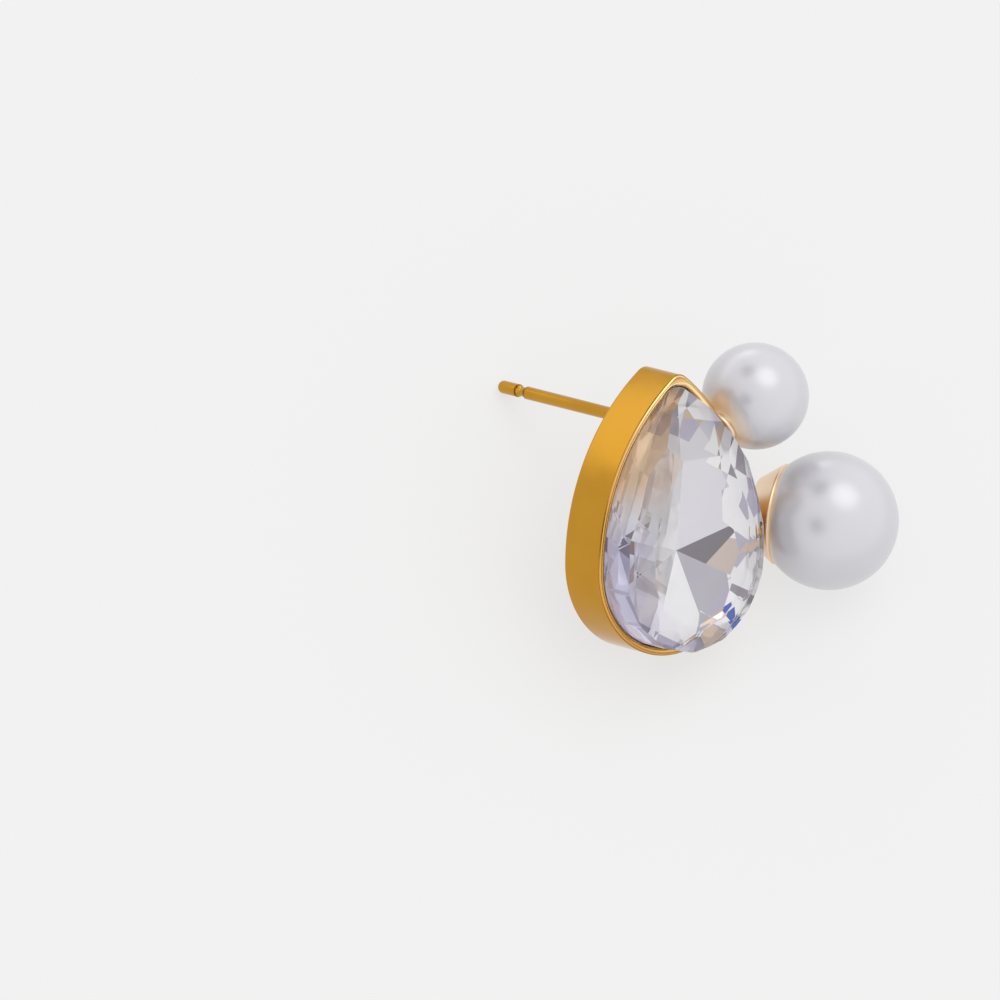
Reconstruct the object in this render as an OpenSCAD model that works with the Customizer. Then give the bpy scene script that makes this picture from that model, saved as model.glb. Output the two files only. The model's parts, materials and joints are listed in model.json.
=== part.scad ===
// Pearl stud earring for one ear: a pear-cut crystal in a gold-plated cup,
// with a large and a small pearl beside it and a straight ear post behind.
// Millimetres. The earring is drawn upright first: +X to the wearer's side with
// the pearls, +Y from the face of the setting to its back, +Z up the drop's axis.
// It is then laid down as it rests on a table, +Z up, with Z = 0 at the table.

/* [Setting] */
// Width of the drop-shaped setting at its widest line
setting_width = 10.6; // [9.6:0.1:12]
// Height of its point above the upright stretch of its sides
point_height = 9.85; // [9:0.05:10.5]
// Height of the upright stretch between the long arcs and the round bottom
upright = 0.2; // [0:0.05:0.5]
// Rounding of the point, seen from the front
point_rounding = 0.8; // [0.4:0.1:1]
// Rounding of the opening's point, inside the lip
opening_rounding = 1.2; // [0.8:0.1:1.4]
// Depth of the setting from its front rim to its back
setting_depth = 2.85; // [2.5:0.05:3.5]
// Thickness of the upright wall
wall = 0.26; // [0.22:0.01:0.3]
// Thickness of the back plate
back_plate = 0.5; // [0.4:0.05:0.6]
// Width of the lip that is turned over the crystal
lip_width = 0.42; // [0.4:0.01:0.46]
// Thickness of that lip
lip_thickness = 0.2; // [0.15:0.01:0.22]
// Width of the groove round the rim, between the wall and the lip
rim_groove_width = 0.05; // [0.04:0.01:0.08]
// Depth of that groove
rim_groove_depth = 0.05; // [0.04:0.01:0.1]

/* [Ear post] */
// Diameter of the post
post_diameter = 0.7; // [0.6:0.05:0.9]
// Length of the post behind the setting
post_length = 11.5; // [9.5:0.5:12.5]
// Height of the post above the centre of the round bottom
post_height = 6.85; // [5.5:0.05:7.2]
// Distance of the groove's middle from the tip of the post
groove_from_tip = 1.9; // [1.5:0.1:2.5]
// Width of the groove that a clutch clicks into
groove_width = 0.7; // [0.5:0.05:0.9]
// Depth of that groove
groove_depth = 0.09; // [0.05:0.01:0.12]

/* [Crystal] */
// Gap between the crystal's girdle and the wall
crystal_gap = 0.05; // [0.04:0.01:0.08]
// Height of the crown above the front rim
crown_height = 2.2; // [1.9:0.05:2.5]
// Distance from the edge of the setting to the table facet, along the sides
table_inset = 2; // [1.7:0.1:2.4]
// The same distance at the point
table_point_inset = 0.2; // [0.2:0.1:1]
// Number of crown facets on each long side
side_facets = 3; // [2:1:5]
// Number of crown facets round the bottom
bottom_facets = 7; // [5:2:9]
// Number of large back facets round the bottom
back_bottom_facets = 5; // [3:2:7]
// Gap between the stone's lowest place and the cup's floor
culet_gap = 0.5; // [0.1:0.05:0.6]

/* [Pearls] */
// Diameter of the large pearl
large_diameter = 7.4; // [7:0.1:8]
// Direction of the large pearl, in degrees round the centre of the side's arc
large_direction = 3.3; // [0:0.1:8]
// Distance of the large pearl's centre from the wall, seen from the front
large_reach = 4.35; // [4.2:0.01:4.5]
// Distance of the large pearl's centre in front of the rim
large_forward = 1.5; // [1.2:0.1:1.6]
// Turn of the large pearl's cup towards the front
large_cup_turn = 58; // [56:1:63]
// Direction from that cup to its pearl, in degrees above level, seen from the front
large_cup_direction = -5; // [-8:1:4]
// Half angle of the large pearl's cup, at its rim
large_cup_angle = 46; // [43:1:46]
// Radius of that cup at its rim
bell_rim = 2.8; // [2.76:0.02:2.9]
// Radius of its small end
bell_end = 1.8; // [1.7:0.1:2]
// Distance of its small end from the pearl's centre
bell_length = 4; // [3.9:0.05:4.1]
// Diameter of the small pearl
small_diameter = 5.7; // [5.5:0.1:6]
// Direction of the small pearl, in degrees round the centre of the side's arc
small_direction = 30.8; // [28:0.1:34]
// Distance of the small pearl's centre behind the rim
small_back = 1; // [0.8:0.1:1.4]
// Half angle of the small pearl's dish
small_dish_angle = 21; // [18:1:24]
// Thickness of that dish
dish_thickness = 0.3; // [0.25:0.01:0.35]
// Gap between a pearl and its dish or peg
pearl_gap = 0.03; // [0.02:0.01:0.04]
// Diameter of the pegs that the pearls are fixed on
peg_diameter = 0.8; // [0.7:0.05:1]
// Length of the pegs inside the pearls
peg_length = 2.2; // [1.8:0.1:2.6]

/* [Hidden] */
$fn = 96;
round_sides = 160;
arc_sides = 240;
overlap = 0.01;
gold = "goldenrod";

// Outline of the drop: a half circle below, centred at the origin, then upright
// sides, and two long arcs that meet in the rounded point
half_width = setting_width / 2;
side_radius = (pow(half_width, 2) + pow(point_height, 2)) / setting_width;
side_centre = side_radius - half_width;

// Crystal: levels along Y from the rim, insets of its edges and tilts of its facets
cup_floor = setting_depth - back_plate;
girdle_inset = wall + crystal_gap;
girdle_clearance = 0.2;
girdle_height = 0.3;
girdle_front = lip_thickness + girdle_clearance;
girdle_back = girdle_front + girdle_height;
crown_inset = lip_width + crystal_gap;
shoulder_inset = 0.56;
shoulder_lean = 0.55;
shoulder_drop = 0.45;
shoulder_height = crown_height - shoulder_drop;
point_facet_height = 0.5;
kite_tilt = 70;
star_tilt = 76;
table_narrowing = 1.8;
point_facet_tilt = 63;
culet = cup_floor - culet_gap;
culet_rise = 0.4;
pavilion_tilt = -atan2(half_width - girdle_inset, culet - girdle_back);
back_side_facets = 1;
bottom_share = 17.5;
break_side_facets = 4;
break_bottom_facets = 10;
break_tilt = 66;
break_step = 0.25;
block = 40;

// Places of the pearls and the post
post_radius = post_diameter / 2;
groove_rounding = (pow(groove_width / 2, 2) + pow(groove_depth, 2)) / (2 * groove_depth);
large_radius = large_diameter / 2;
small_radius = small_diameter / 2;
dish_sink = 0.05;
small_reach = small_radius + pearl_gap + dish_thickness - dish_sink;
large_place = beside_wall(large_direction, large_reach, -large_forward);
small_place = beside_wall(small_direction, small_reach, small_back);
cup_way = [
    -cos(large_cup_direction) * cos(large_cup_turn),
    sin(large_cup_turn),
    -sin(large_cup_direction) * cos(large_cup_turn)
];
bell_rim_level = (large_radius + pearl_gap) * cos(large_cup_angle);
mid_depth = setting_depth / 2;
arm_radius = 0.9;
tip_centre = [0, setting_depth + post_length - post_radius, post_height];

// A point at a distance from the right-hand wall, in a direction round the side's arc
function beside_wall(direction, distance, depth) = [
    (side_radius + distance) * cos(direction) - side_centre,
    depth,
    upright + (side_radius + distance) * sin(direction)
];

// Rounding of the point of an outline inside the lip, drawn smaller by an inset
function inner_rounding(inset) = opening_rounding + lip_width - inset;

// Height of the centre of the point's rounding above the upright stretch
function rounding_height(inset, rounding) =
    sqrt(pow(side_radius - inset - rounding, 2) - pow(side_centre, 2));

// How far the outline, smaller by an inset, reaches in the direction u across, w up
function outline_reach(u, w, inset, rounding) =
    let (top = rounding_height(inset, rounding), size = norm([u, w]))
    w <= 0 ? (half_width - inset) * size :
    atan2(w, abs(u)) < atan2(top, side_centre)
        ? upright * w + (side_radius - inset) * size - side_centre * abs(u)
        : (upright + top) * w + rounding * size;

// How far the whole earring reaches in a direction
function reach(way) = max(
    outline_reach(way.x, way.z, 0, point_rounding) + max(0, setting_depth * way.y),
    large_place * way + large_radius,
    small_place * way + small_radius,
    tip_centre * way + post_radius
);

// How far the large pearl with its cup reaches from the pearl's centre
function bell_circle_reach(way, radius, level) =
    let (along = cup_way * way)
    level * along + radius * sqrt(1 - along * along);
function large_end_reach(way) = max(
    large_radius,
    bell_circle_reach(way, bell_rim, bell_rim_level),
    bell_circle_reach(way, bell_end, bell_length)
);

// Resting position. On a table the earring stands on the tip of its post, the
// lower back edge of the setting and the large pearl or its cup. Its turn about
// the post and its lean are worked out in turns until all three are level.
function lean_for(turn) =
    let (along = post_length - post_radius, down = post_height * cos(turn) + half_width)
    atan2(down, along) - asin(post_radius / norm([down, along]));
function turn_for(lean, turn) =
    let (downward = [sin(turn) * cos(lean), sin(lean), -cos(turn) * cos(lean)])
    let (behind = (large_place.y - setting_depth) * sin(lean) + large_end_reach(downward))
    atan2(large_place.z, large_place.x)
    + asin((half_width - behind / cos(lean)) / norm([large_place.x, large_place.z]));
function settled_turn(turn, rounds) =
    rounds == 0 ? turn : settled_turn(turn_for(lean_for(turn), turn), rounds - 1);
first_turn = 30;
settling_rounds = 40;
rest_turn = settled_turn(first_turn, settling_rounds);
rest_lean = lean_for(rest_turn);
table_down = setting_depth * sin(rest_lean) + half_width * cos(rest_lean);

// The row's X and Y directions in the upright earring, to centre what lies on the table
row_x = [cos(rest_turn), 0, sin(rest_turn)];
row_y = [-sin(rest_turn) * sin(rest_lean), cos(rest_lean), cos(rest_turn) * sin(rest_lean)];
centre_x = (reach(row_x) - reach(-row_x)) / 2;
centre_y = (reach(row_y) - reach(-row_y)) / 2;

// Directions of the facets, one for each share of a long side or of the bottom. The
// bottom's shares begin at an angle above the middle of the half circle.
point_angle = atan2(point_height, side_centre);
function shares(first, last, count, shift) = [
    for (k = [0 : count - 1]) first + (last - first) * (k + shift) / count
];
function facet_directions(side_count, low_count, start, shift) = concat(
    shares(start, point_angle, side_count, shift),
    shares(180 - point_angle, 180 - start, side_count, 1 - shift),
    shares(180 - start, 360 + start, low_count, shift)
);
kite_facets = facet_directions(side_facets, bottom_facets, 0, 0.5);
star_facets = concat(
    facet_directions(side_facets, bottom_facets, 0, 0),
    [point_angle, 180 - point_angle]
);
back_facets = facet_directions(back_side_facets, back_bottom_facets, bottom_share, 0.5);
break_facets = facet_directions(break_side_facets, break_bottom_facets, bottom_share, 0.5);

// Inset of the table facet's edge, smaller towards the point
function table_edge(direction) =
    let (upward = max(0, sin(direction)) / sin(point_angle))
    table_inset - (table_inset - table_point_inset) * pow(upward, table_narrowing);

// The upright earring laid down on the table
module laid_down() {
    translate([-centre_x, -centre_y, table_down])
        rotate([-rest_lean, 0, 0])
            rotate([0, rest_turn, 0])
                children();
}

// The drop outline, smaller by an inset, flat in X and Y
module drop(inset, rounding) {
    top = rounding_height(inset, rounding);
    arc_end = (side_radius - inset) * top / norm([top, side_centre]);
    circle(half_width - inset);
    translate([inset - half_width, 0]) square([setting_width - 2 * inset, upright]);
    translate([0, upright]) {
        translate([0, top]) circle(rounding);
        intersection() {
            translate([-side_centre, 0]) circle(side_radius - inset, $fn = arc_sides);
            translate([side_centre, 0]) circle(side_radius - inset, $fn = arc_sides);
            translate([-half_width, 0]) square([setting_width, arc_end]);
        }
    }
}

// A plate of the drop outline between two levels behind the rim
module plate(inset, rounding, from, to) {
    translate([0, to, 0])
        rotate([90, 0, 0])
            linear_extrude(to - from)
                drop(inset, rounding);
}

// The same for the outlines inside the lip
module inner_plate(inset, from, to) {
    plate(inset, inner_rounding(inset), from, to);
}

// Cup for the crystal, open in front, with its lip and the groove beside the lip
module cup() {
    difference() {
        plate(0, point_rounding, 0, setting_depth);
        inner_plate(lip_width, -overlap, cup_floor);
        inner_plate(wall, lip_thickness, cup_floor);
        difference() {
            inner_plate(wall / 2, -overlap, rim_groove_depth);
            inner_plate(wall / 2 + rim_groove_width, -2 * overlap, rim_groove_depth + overlap);
        }
    }
}

// Straight ear post with a rounded tip and a round-bottomed groove
module ear_post() {
    length = post_length - post_radius;
    translate([0, setting_depth, post_height])
        rotate([-90, 0, 0])
            rotate_extrude()
                difference() {
                    union() {
                        translate([0, -overlap]) square([post_radius, length + overlap]);
                        intersection() {
                            translate([0, length]) circle(post_radius);
                            translate([0, length]) square(post_radius);
                        }
                    }
                    translate([post_radius - groove_depth + groove_rounding, post_length - groove_from_tip])
                        circle(groove_rounding);
                }
}

// Turns +Z into the way from a pearl's centre back to its dish
module towards_dish(direction, turn) {
    rotate([0, -direction, 0])
        rotate([0, 0, -turn])
            rotate([0, -90, 0])
                children();
}

// Peg in the middle of a cup or dish, on which a pearl is fixed
module peg(radius) {
    translate([0, 0, radius - peg_length])
        cylinder(h = peg_length + pearl_gap + overlap, d = peg_diameter);
}

// Dish under the small pearl, a slice of a ball's shell
module dish(radius, angle) {
    inner = radius + pearl_gap;
    rotate_extrude()
        intersection() {
            difference() {
                circle(inner + dish_thickness, $fn = round_sides);
                circle(inner, $fn = round_sides);
            }
            polygon([[0, 0], [0, 2 * radius], [2 * radius * tan(angle), 2 * radius]]);
        }
    peg(radius);
}

// Bell-shaped cup behind the large pearl, straight from its rim to its small end
module bell() {
    inner = large_radius + pearl_gap;
    rotate_extrude()
        difference() {
            polygon([
                [0, 0], [inner * sin(large_cup_angle), bell_rim_level],
                [bell_rim, bell_rim_level], [bell_end, bell_length], [0, bell_length]
            ]);
            circle(inner, $fn = round_sides);
        }
    peg(large_radius);
}

// Short arm from the middle of the wall to the back of the large pearl's cup
module large_arm() {
    inward = 1;
    foot = beside_wall(large_direction, 0, mid_depth);
    way = large_place - foot;
    forward = atan2(-way.y, norm([way.x, way.z]));
    difference() {
        translate(large_place)
            towards_dish(large_direction, forward)
                cylinder(h = norm(way) + inward, r = arm_radius);
        translate(large_place)
            sphere(large_radius + pearl_gap + overlap, $fn = round_sides);
    }
}

// Everything that is soldered together: setting cup, post, bell, dish, pegs and arm
module setting() {
    color(gold) laid_down() {
        cup();
        ear_post();
        difference() {
            union() {
                translate(large_place)
                    towards_dish(large_cup_direction, large_cup_turn)
                        bell();
                translate(small_place)
                    towards_dish(small_direction, 0)
                        dish(small_radius, small_dish_angle);
                large_arm();
            }
            inner_plate(wall / 2, -setting_depth, 2 * setting_depth);
        }
    }
}

// What is left on the inner side of one flat facet. The facet faces a direction
// round the drop and is tilted to the front, or to the back when tilt is negative.
module facet(direction, tilt, distance) {
    rotate([0, -direction, 0])
        rotate([0, 0, -tilt])
            translate([distance - block, -block / 2, -block / 2])
                cube(block);
}

// How far the crystal's outline, smaller by an inset, reaches in a direction
function crystal_reach(direction, inset) =
    outline_reach(cos(direction), sin(direction), inset, inner_rounding(min(inset, shoulder_inset)));

// Distance of a facet that meets an inset outline at a level, for its direction and tilt
function facet_distance(direction, tilt, inset, level) =
    crystal_reach(direction, inset) * cos(tilt) - level * sin(tilt);

// Inset of the shoulder, where the crown's sides end. They lean in more towards the point
function shoulder_edge(direction) = shoulder_inset + shoulder_lean * max(0, sin(direction));

// Tilt of the crown's side below the shoulder
function side_tilt(direction) = atan2(shoulder_edge(direction) - crown_inset, shoulder_height);

// Distance of a back facet that runs through the culet
function pavilion_distance(direction) =
    culet_rise * sin(direction) * cos(pavilion_tilt) - culet * sin(pavilion_tilt);

// Crown: steep sides, kite facets, star facets, one at the point and the flat table
module crown() {
    intersection() {
        inner_plate(crown_inset, -crown_height, girdle_front + overlap);
        intersection_for (direction = star_facets) {
            facet(direction, side_tilt(direction), facet_distance(
                direction, side_tilt(direction), shoulder_edge(direction), -shoulder_height));
        }
        intersection_for (direction = kite_facets) {
            facet(direction, kite_tilt,
                facet_distance(direction, kite_tilt, shoulder_edge(direction), -shoulder_height));
        }
        intersection_for (direction = star_facets) {
            facet(direction, star_tilt,
                facet_distance(direction, star_tilt, table_edge(direction), -crown_height));
        }
        facet(90, point_facet_tilt,
            facet_distance(90, point_facet_tilt, shoulder_inset, -point_facet_height));
    }
}

// Pavilion: large facets down to the culet, and narrow break facets beside the girdle
module pavilion() {
    intersection() {
        inner_plate(girdle_inset, girdle_front, culet + overlap);
        intersection_for (direction = back_facets) {
            facet(direction, pavilion_tilt, pavilion_distance(direction));
        }
        intersection_for (direction = break_facets) {
            facet(direction, -break_tilt,
                facet_distance(direction, -break_tilt, girdle_inset, girdle_back - break_step));
        }
    }
}

// Pear-cut crystal
module crystal() {
    color("gainsboro") laid_down() {
        crown();
        pavilion();
    }
}

// One pearl, drilled half way for its peg
module pearl(radius) {
    difference() {
        sphere(radius, $fn = round_sides);
        translate([0, 0, radius - peg_length - 2 * pearl_gap])
            cylinder(h = peg_length + 1, r = peg_diameter / 2 + pearl_gap);
    }
}

// Large pearl, in front of the middle of the side wall
module pearl_large() {
    color("lavender") laid_down()
        translate(large_place)
            towards_dish(large_cup_direction, large_cup_turn)
                pearl(large_radius);
}

// Small pearl, straight out from the upper side wall
module pearl_small() {
    color("lavender") laid_down()
        translate(small_place)
            towards_dish(small_direction, 0)
                pearl(small_radius);
}

setting();
crystal();
pearl_large();
pearl_small();
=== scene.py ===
"""Pearl stud earring: a pear-cut crystal in a gold-plated cup, two pearls and an ear post."""

import json
import math

import bmesh
import bpy
import numpy as np
from mathutils import Matrix


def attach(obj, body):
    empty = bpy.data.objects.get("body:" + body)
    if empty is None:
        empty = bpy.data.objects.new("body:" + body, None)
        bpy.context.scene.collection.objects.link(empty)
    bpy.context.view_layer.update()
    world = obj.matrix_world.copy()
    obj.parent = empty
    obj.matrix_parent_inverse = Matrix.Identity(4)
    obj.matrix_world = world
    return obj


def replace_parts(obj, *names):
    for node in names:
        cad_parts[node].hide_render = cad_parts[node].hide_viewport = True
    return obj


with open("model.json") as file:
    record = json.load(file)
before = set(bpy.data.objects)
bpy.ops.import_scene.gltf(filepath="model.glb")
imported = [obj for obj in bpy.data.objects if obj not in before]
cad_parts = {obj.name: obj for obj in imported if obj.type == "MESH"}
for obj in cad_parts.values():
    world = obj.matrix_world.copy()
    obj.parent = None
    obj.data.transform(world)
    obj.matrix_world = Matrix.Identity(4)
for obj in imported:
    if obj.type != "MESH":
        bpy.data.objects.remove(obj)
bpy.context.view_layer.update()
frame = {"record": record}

# Sizes are in millimetres, and those of the solids are the solids' own. The earring is drawn
# upright first: +X to the side with the pearls, +Y from the face of the setting to its back,
# +Z up the drop's axis, with the origin on the rim plane at the centre of the round bottom.
MM = 0.001

# Setting: a cup with a drop's outline, and its lip, turned over the stone. The plates' rings
# end at an inset, and close to a point at a height up the drop.
SETTING_WIDTH = 10.6
SETTING_DEPTH = 2.85
POINT_HEIGHT = 9.85
UPRIGHT = 0.2
POINT_ROUNDING = 0.8
OPENING_ROUNDING = 1.2
LEAST_ROUNDING = 0.3
WALL = 0.26
BACK_PLATE = 0.5
PLATE_RING = 2.4
PLATE_MIDDLE = 1.5
LIP_WIDTH = 0.42
LIP_THICKNESS = 0.2
LIP_GROOVE_WIDTH = 0.05
LIP_GROOVE_DEPTH = 0.05
LIP_FALL = 0.09

# Roundings of its edges, in the order of the profile from the floor to the back
FLOOR_EDGE = 0.05
LIP_BACK_EDGE = 0.03
LIP_INNER_EDGE = 0.09
GROOVE_INNER_EDGE = 0.03
GROOVE_BOTTOM_EDGE = 0.01
GROOVE_OUTER_EDGE = 0.02
RIM_EDGE = 0.1
BACK_EDGE = 0.12

# Painted highlight on the lip: paler gold painted on the lip's front, down to a level, least round the
# bottom, and from a start up the drop more and more over a rise
LIP_HIGHLIGHT_LEVEL = 0.1
LIP_HIGHLIGHT_LEAST = 0.3
LIP_HIGHLIGHT_START = 3
LIP_HIGHLIGHT_RISE = 5

# Ear post, with the groove that a clutch clicks into, the rings beside that groove, and how
# far the painted shade in its corners spreads
POST_DIAMETER = 0.7
POST_LENGTH = 11.5
POST_HEIGHT = 6.85
POST_SINK = 0.1
POST_FILLET = 0.14
POST_GROOVE_FROM_TIP = 1.9
POST_GROOVE_WIDTH = 0.7
POST_GROOVE_DEPTH = 0.09
POST_GROOVE_BESIDE = np.linspace(0.02, 0.2, 6)
GROOVE_SHADE_WIDTH = 0.055

# Pearls: a large one in a bell-shaped cup on an arm, and a small one in a shallow dish. The
# reflection fade is the angle over which the painted reflection of the gold fades from the cup's edge.
LARGE_DIAMETER = 7.4
LARGE_DIRECTION = math.radians(3.3)
LARGE_REACH = 4.35
LARGE_FORWARD = 1.5
LARGE_CUP_TURN = math.radians(58)
LARGE_CUP_DIRECTION = math.radians(-5)
LARGE_CUP_ANGLE = math.radians(46)
LARGE_REFLECTION_FADE = math.radians(7)
SMALL_DIAMETER = 5.7
SMALL_DIRECTION = math.radians(30.8)
SMALL_BACK = 1.0
SMALL_DISH_ANGLE = math.radians(21)
SMALL_REFLECTION_FADE = math.radians(22)
PEARL_GAP = 0.03
PEG_DIAMETER = 0.8
PEG_LENGTH = 2.2
PEG_FOOT = 0.02
HOLE_MOUTH = 0.06
DISH_THICKNESS = 0.3
DISH_SINK = 0.05
RIM_GAP = 0.008
CLOSING_ANGLE = math.radians(6)
BELL_RIM = 2.8
BELL_RIM_EDGE = 0.1
BELL_END = 1.8
BELL_END_EDGE = 0.2
BELL_LENGTH = 4.0
ARM_RADIUS = 0.9
ARM_SINK = 0.1
ARM_FILLET = 0.25
ARM_FILLET_LENGTH = 0.15

# Stone: a raised crown, upright sides and a back that comes to a culet. It is cut from a
# block, and points closer to a cut than the touch stay where they are.
CRYSTAL_GAP = 0.05
CROWN_HEIGHT = 2.2
TABLE_INSET = 2.0
TABLE_POINT_INSET = 0.2
TABLE_TAPER = 1.8
SHOULDER_DROP = 0.45
SHOULDER_INSET = 0.56
SHOULDER_LEAN = 0.55
SIDE_FACETS = 3
BOTTOM_FACETS = 7
KITE_TILT = math.radians(70)
STAR_TILT = math.radians(76)
POINT_FACET_TILT = math.radians(63)
POINT_FACET_LEVEL = 0.5
GIRDLE_LEVEL = 0.7
GIRDLE_CUTS = 120
UPRIGHT_SIDE = 0.02
CULET_RISE = 0.4
CULET_GAP = 0.5
BOTTOM_SHARE = math.radians(17.5)
BACK_SIDE_FACETS = 1
BACK_BOTTOM_FACETS = 5
BREAK_SIDE_FACETS = 4
BREAK_BOTTOM_FACETS = 10
BREAK_TILT = math.radians(66)
BREAK_STEP = 0.25
BLOCK_SIZE = 40
CUT_TOUCH = 1e-4

# Straight lines drawn by chance part the stone's facets into small fields, each with its own
# painted reflection, and level ones part its crown. One more line parts the back's first bottom
# facet into a share with painted light and one with painted shade. A face lies on a facet when
# the gap between them is below the last value.
FIELDS, FIELD_SEED = 34, 27
FIELD_REACH = 6
FIELD_MIDDLE = (0, 0, 2)
REFLECTION_LEVELS = (1.2, 2.0, 2.8, 3.4, 4.1, 4.8)
SHADE_PLACE, SHADE_WAY = (2.06, 0, -0.38), (-0.645, 0, 0.764)
SHADED_FACET = 2
ON_FACET = 0.01

# Painted reflections in the silvering of the large back facets, one tone a facet: of the sides,
# then of the bottom from the pearls' side round. The next tone is the painted shade on part of one.
MAIN_TONES = ["#EAE9EE", "#FFFFFF", "#D8C8BE", "#C2C0C8", "#FFFFFF", "#FFFFFF", "#FFFFFF"]
SHADED_TONE = "#857E86"

# Painted reflections and painted glints of split light on the fields beside the girdle, how
# often each comes, and the places where only some of them are picked
RIM_LEVEL, RIM_SPREAD, RIM_SEED = 0.95, 0.15, 5
RIM_TONES = ["#FFFFFF", "#DAD7DF", "#C6C1D2", "#DFC9B4", "#A39BA6", "#D6A684", "#4C66BC", "#6A6470"]
RIM_SHARES = [0.66, 0.06, 0.10, 0.05, 0.05, 0.02, 0.04, 0.02]
WHITE, LILAC, BEIGE, FIRST_STRONG, BLUE = 0, 2, 3, 5, 6
STRONG_FROM_X = 0.8
BLUE_BELOW_Z = -1.5
LILAC_BELOW_Z = -3.2
LILAC_FROM_X, LILAC_TO_X = -2.4, 1.8

# Painted reflections on the fields on the side away from the pearls, and how often each comes
FAR_X, FAR_SEED = -1.4, 6
FAR_TONES = ["#FFFFFF", "#E9E4E2", "#C4B6AE", "#A08E88"]
FAR_SHARES = [0.62, 0.2, 0.1, 0.08]

# Painted reflection on the crown's side away from the pearls, by height, and how fast it comes
# with the facet's turn to that side
LOW_REFLECTION, MIDDLE_REFLECTION, HIGH_REFLECTION = "#D4D0FF", "#FFFFFF", "#FFC27E"
MIDDLE_REFLECTION_FROM, HIGH_REFLECTION_FROM, REFLECTION_RISE = 1.2, 2.9, 1.6
REFLECTION_GAIN, REFLECTION_START = 2.5, 0.2

# Points along the parts of a profile or outline, and stations round a turned piece
LOW_POINTS, SIDE_POINTS, TIP_POINTS = 40, 72, 14
FILLET_POINTS, GROOVE_POINTS, POST_TIP_POINTS = 9, 17, 13
DISH_POINTS, DISH_RIM_POINTS, ARM_POINTS = 24, 9, 20
BALL_POINTS, MOUTH_POINTS = 150, 6
POST_STATIONS, ARM_STATIONS, DISH_STATIONS, PEARL_STATIONS = 64, 96, 144, 192

# A way that no turned piece's axis has, and the distance in metres at which points are one
ASLANT = (0.3, -0.2, 1.0)
SAME_POINT = 1e-7

HALF_WIDTH = SETTING_WIDTH / 2
SIDE_RADIUS = (HALF_WIDTH**2 + POINT_HEIGHT**2) / SETTING_WIDTH
SIDE_CENTRE = SIDE_RADIUS - HALF_WIDTH
POINT_DIRECTION = math.atan2(POINT_HEIGHT, SIDE_CENTRE)
CUP_FLOOR = SETTING_DEPTH - BACK_PLATE
CULET = CUP_FLOOR - CULET_GAP
POST_RADIUS = POST_DIAMETER / 2
POST_GROOVE = POST_LENGTH - POST_GROOVE_FROM_TIP
LARGE_RADIUS = LARGE_DIAMETER / 2
SMALL_RADIUS = SMALL_DIAMETER / 2


def beside_wall(direction, distance, depth):
    """Place at a distance from the right-hand wall, in a direction round the side's arc."""
    reach = SIDE_RADIUS + distance
    return np.array([reach * math.cos(direction) - SIDE_CENTRE, depth,
                     UPRIGHT + reach * math.sin(direction)])


LARGE_PLACE = beside_wall(LARGE_DIRECTION, LARGE_REACH, -LARGE_FORWARD)
SMALL_REACH = SMALL_RADIUS + PEARL_GAP + DISH_THICKNESS - DISH_SINK
SMALL_PLACE = beside_wall(SMALL_DIRECTION, SMALL_REACH, SMALL_BACK)


def towards_dish(direction, turn):
    """Way from a pearl's centre back to its bell or dish: against the direction round the
    wall, turned to the back by an angle."""
    flat = np.array([-math.cos(direction), 0, -math.sin(direction)])
    return flat * math.cos(turn) + np.array([0, math.sin(turn), 0])


def large_end_reach(way):
    """How far the large pearl with its bell reaches from the pearl's centre: the most of the
    ball, the bell's rim and its small end."""
    along = towards_dish(LARGE_CUP_DIRECTION, LARGE_CUP_TURN) @ way
    across = math.sqrt(1 - along**2)
    level = (LARGE_RADIUS + PEARL_GAP) * math.cos(LARGE_CUP_ANGLE)
    rim = level * along + BELL_RIM * across
    end = BELL_LENGTH * along + BELL_END * across
    return max(LARGE_RADIUS, rim, end)


def resting_angles(turn=math.radians(30), rounds=40):
    """Turn about the post and lean, at which the earring lies on the post's tip, the
    setting's lower back edge and the large pearl or its bell. From a first guess, each round
    takes the lean from the turn, and then the turn from the lean."""
    along = POST_LENGTH - POST_RADIUS
    x, y, z = LARGE_PLACE
    for _ in range(rounds):
        down = POST_HEIGHT * math.cos(turn) + HALF_WIDTH
        lean = math.atan2(down, along) - math.asin(POST_RADIUS / math.hypot(down, along))
        ct, st, cl, sl = math.cos(turn), math.sin(turn), math.cos(lean), math.sin(lean)
        behind = (y - SETTING_DEPTH) * sl + large_end_reach(np.array([st * cl, sl, -ct * cl]))
        turn = math.atan2(z, x) + math.asin((HALF_WIDTH - behind / cl) / math.hypot(x, z))
    return turn, lean


def laying_down():
    """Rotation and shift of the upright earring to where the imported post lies. The post's
    mount is the middle of its plain stretch behind the setting."""
    turn, lean = resting_angles()
    ct, st, cl, sl = math.cos(turn), math.sin(turn), math.cos(lean), math.sin(lean)
    rotation = np.array([[ct, 0, st], [-st * sl, cl, ct * sl], [-st * cl, -sl, ct * cl]])
    post = frame["record"]["mounts"][0]
    middle = np.array([0, SETTING_DEPTH + post["dims"]["length_mm"] / 2, POST_HEIGHT])
    return rotation, np.array(post["pos_m"]) / MM - rotation @ middle


ROTATION, SHIFT = laying_down()


def laid_down(points):
    """Upright points in millimetres to their place on the table in metres."""
    return (points @ ROTATION.T + SHIFT) * MM


# Meshes and profiles

def read(items, name, size=3, kind=float):
    """One value of every point, corner or face of a mesh, as rows of an array."""
    values = np.zeros(len(items) * size, kind)
    items.foreach_get(name, values)
    return values.reshape(-1, size)


def finish_piece(name, mesh, materials):
    """Puts a mesh in the scene as a piece of the earring."""
    for material in materials:
        mesh.materials.append(material)
    piece = bpy.data.objects.new(name, mesh)
    bpy.context.scene.collection.objects.link(piece)
    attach(piece, "root")
    return piece


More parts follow.
